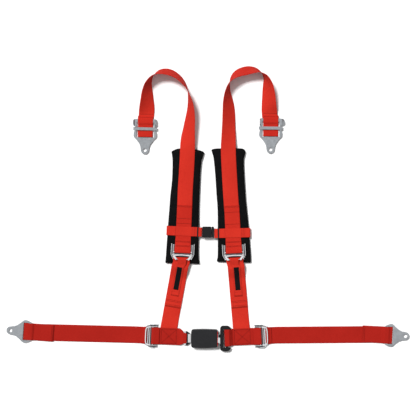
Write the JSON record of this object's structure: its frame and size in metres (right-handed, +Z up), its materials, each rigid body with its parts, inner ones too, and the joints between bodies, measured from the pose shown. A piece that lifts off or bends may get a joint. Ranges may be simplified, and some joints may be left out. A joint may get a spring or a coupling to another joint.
{
  "type": "racing harness",
  "caption": "Flat webbing racing harness with padded shoulder straps, looped bolt-in brackets, lift-lever adjusters, a sternum clip and a push-button lap buckle.",
  "frame": {"origin": "bottom centre of the harness as it is laid out flat on its back", "axes": "+X along the lap belt towards the tongue side, +Y towards the shoulder brackets, +Z up off the surface it lies on"},
  "size_m": [1.2192, 0.8633, 0.0508],
  "materials": {
    "red_webbing": "ribbed polyester webbing, slight sheen",
    "black_pad_fabric": "black air-mesh fabric, matt",
    "pad_foam": "open-cell foam",
    "black_label": "plain black woven label",
    "zinc_steel": "grey zinc-plated stamped steel, satin",
    "chrome_steel": "bright chrome plate",
    "bright_steel": "bright plated steel",
    "buckle_plastic": "fine-grained charcoal plastic",
    "black_plastic": "black moulded plastic",
    "red_button": "red moulded plastic"
  },
  "bodies": {
    "left_half": {"left_shoulder_bracket": "zinc_steel", "left_shoulder_adjuster_frame": "chrome_steel", "left_shoulder_adjuster_pin": "bright_steel", "left_lap_bracket": "zinc_steel", "left_lap_adjuster_frame": "chrome_steel", "left_lap_adjuster_pin": "bright_steel", "left_shoulder_strap": "red_webbing", "left_chest_strap": "red_webbing", "left_sternum_strap": "red_webbing", "left_lap_strap_outer": "red_webbing", "left_lap_strap_inner": "red_webbing", "left_pad_cover": "black_pad_fabric", "left_pad_foam": "pad_foam", "sternum_clip_female": "black_plastic", "buckle_top_cover": "buckle_plastic", "buckle_bottom_cover": "buckle_plastic", "buckle_anchor": "bright_steel", "buckle_frame": "bright_steel", "pawl_pin": "bright_steel", "ejector_spring": "bright_steel", "latch_spring": "bright_steel"},
    "right_half": {"right_shoulder_bracket": "zinc_steel", "right_shoulder_adjuster_frame": "chrome_steel", "right_shoulder_adjuster_pin": "bright_steel", "right_lap_bracket": "zinc_steel", "right_lap_adjuster_frame": "chrome_steel", "right_lap_adjuster_pin": "bright_steel", "right_shoulder_strap": "red_webbing", "right_chest_strap": "red_webbing", "right_sternum_strap": "red_webbing", "right_lap_strap_outer": "red_webbing", "right_lap_strap_inner": "red_webbing", "right_pad_cover": "black_pad_fabric", "right_pad_foam": "pad_foam", "sternum_clip_male": "black_plastic", "tongue_plate": "bright_steel", "tongue_cover": "black_plastic"},
    "left_shoulder_slide_bar": {"left_shoulder_slide_bar": "zinc_steel"},
    "left_shoulder_lever": {"left_shoulder_adjuster_lever": "chrome_steel", "left_pull_tab": "red_webbing", "left_pull_tab_label": "black_label"},
    "left_lap_lever": {"left_lap_adjuster_lever": "chrome_steel"},
    "left_keeper": {"left_sternum_keeper": "black_plastic"},
    "right_shoulder_slide_bar": {"right_shoulder_slide_bar": "zinc_steel"},
    "right_shoulder_lever": {"right_shoulder_adjuster_lever": "chrome_steel", "right_pull_tab": "red_webbing", "right_pull_tab_label": "black_label"},
    "right_lap_lever": {"right_lap_adjuster_lever": "chrome_steel"},
    "right_keeper": {"right_sternum_keeper": "black_plastic"},
    "button": {"release_button": "red_button"},
    "pawl": {"latch_pawl": "bright_steel"},
    "ejector": {"ejector": "black_plastic"},
    "prong_upper": {"sternum_prong_upper": "black_plastic"},
    "prong_lower": {"sternum_prong_lower": "black_plastic"}
  },
  "joints": [
    {"name": "unbuckle", "type": "slide", "parent": "left_half", "child": "right_half", "axis": [1, 0, 0], "range_m": [0, 0.07]},
    {"name": "button_press", "type": "slide", "parent": "left_half", "child": "button", "axis": [-1, 0, 0], "range_m": [0, 0.0045], "stiffness_N_per_m": 500},
    {"name": "pawl_lift", "type": "hinge", "parent": "left_half", "child": "pawl", "pos_m": [-0.014, -0.3932, 0.0176], "axis": [0, -1, 0], "range_deg": [0, 6]},
    {"name": "ejector_travel", "type": "slide", "parent": "left_half", "child": "ejector", "axis": [1, 0, 0], "range_m": [0, 0.0084]},
    {"name": "left_shoulder_lever_lift", "type": "hinge", "parent": "left_half", "child": "left_shoulder_lever", "pos_m": [-0.07708, -0.14049, 0.0208], "axis": [-0.9989, 0.0471, 0], "range_deg": [0, 60]},
    {"name": "right_shoulder_lever_lift", "type": "hinge", "parent": "right_half", "child": "right_shoulder_lever", "pos_m": [0.07859, -0.14149, 0.0208], "axis": [-0.9988, -0.0489, 0], "range_deg": [0, 60]},
    {"name": "left_lap_lever_lift", "type": "hinge", "parent": "left_half", "child": "left_lap_lever", "pos_m": [-0.17649, -0.38515, 0.0065], "axis": [0.0436, 0.999, 0], "range_deg": [0, 60]},
    {"name": "right_lap_lever_lift", "type": "hinge", "parent": "right_half", "child": "right_lap_lever", "pos_m": [0.16679, -0.38645, 0.0065], "axis": [0.0436, -0.999, 0], "range_deg": [0, 60]},
    {"name": "left_shoulder_bar_slide", "type": "slide", "parent": "left_half", "child": "left_shoulder_slide_bar", "axis": [0.0227, 0.9997, 0], "range_m": [-0.003, 0.003]},
    {"name": "right_shoulder_bar_slide", "type": "slide", "parent": "right_half", "child": "right_shoulder_slide_bar", "axis": [0.0105, 0.9999, 0], "range_m": [-0.003, 0.003]},
    {"name": "left_keeper_slide", "type": "slide", "parent": "left_half", "child": "left_keeper", "axis": [0.999, -0.0454, 0], "range_m": [0, 0.006]},
    {"name": "right_keeper_slide", "type": "slide", "parent": "right_half", "child": "right_keeper", "axis": [-0.9997, -0.0244, 0], "range_m": [0, 0.006]},
    {"name": "prong_squeeze", "type": "hinge", "parent": "right_half", "child": "prong_upper", "pos_m": [0.0067, -0.0668, 0.0162], "axis": [0, 0, 1], "range_deg": [0, 6]},
    {"name": "prong_squeeze_lower", "type": "hinge", "parent": "right_half", "child": "prong_lower", "pos_m": [0.0067, -0.0772, 0.0162], "axis": [0, 0, -1], "range_deg": [0, 6]}
  ],
  "couplings": [
    {"joint": "pawl_lift", "follows": "button_press", "rad_per_m": 23.2},
    {"joint": "ejector_travel", "follows": "unbuckle", "ratio": 0.12},
    {"joint": "prong_squeeze_lower", "follows": "prong_squeeze", "ratio": 1}
  ]
}
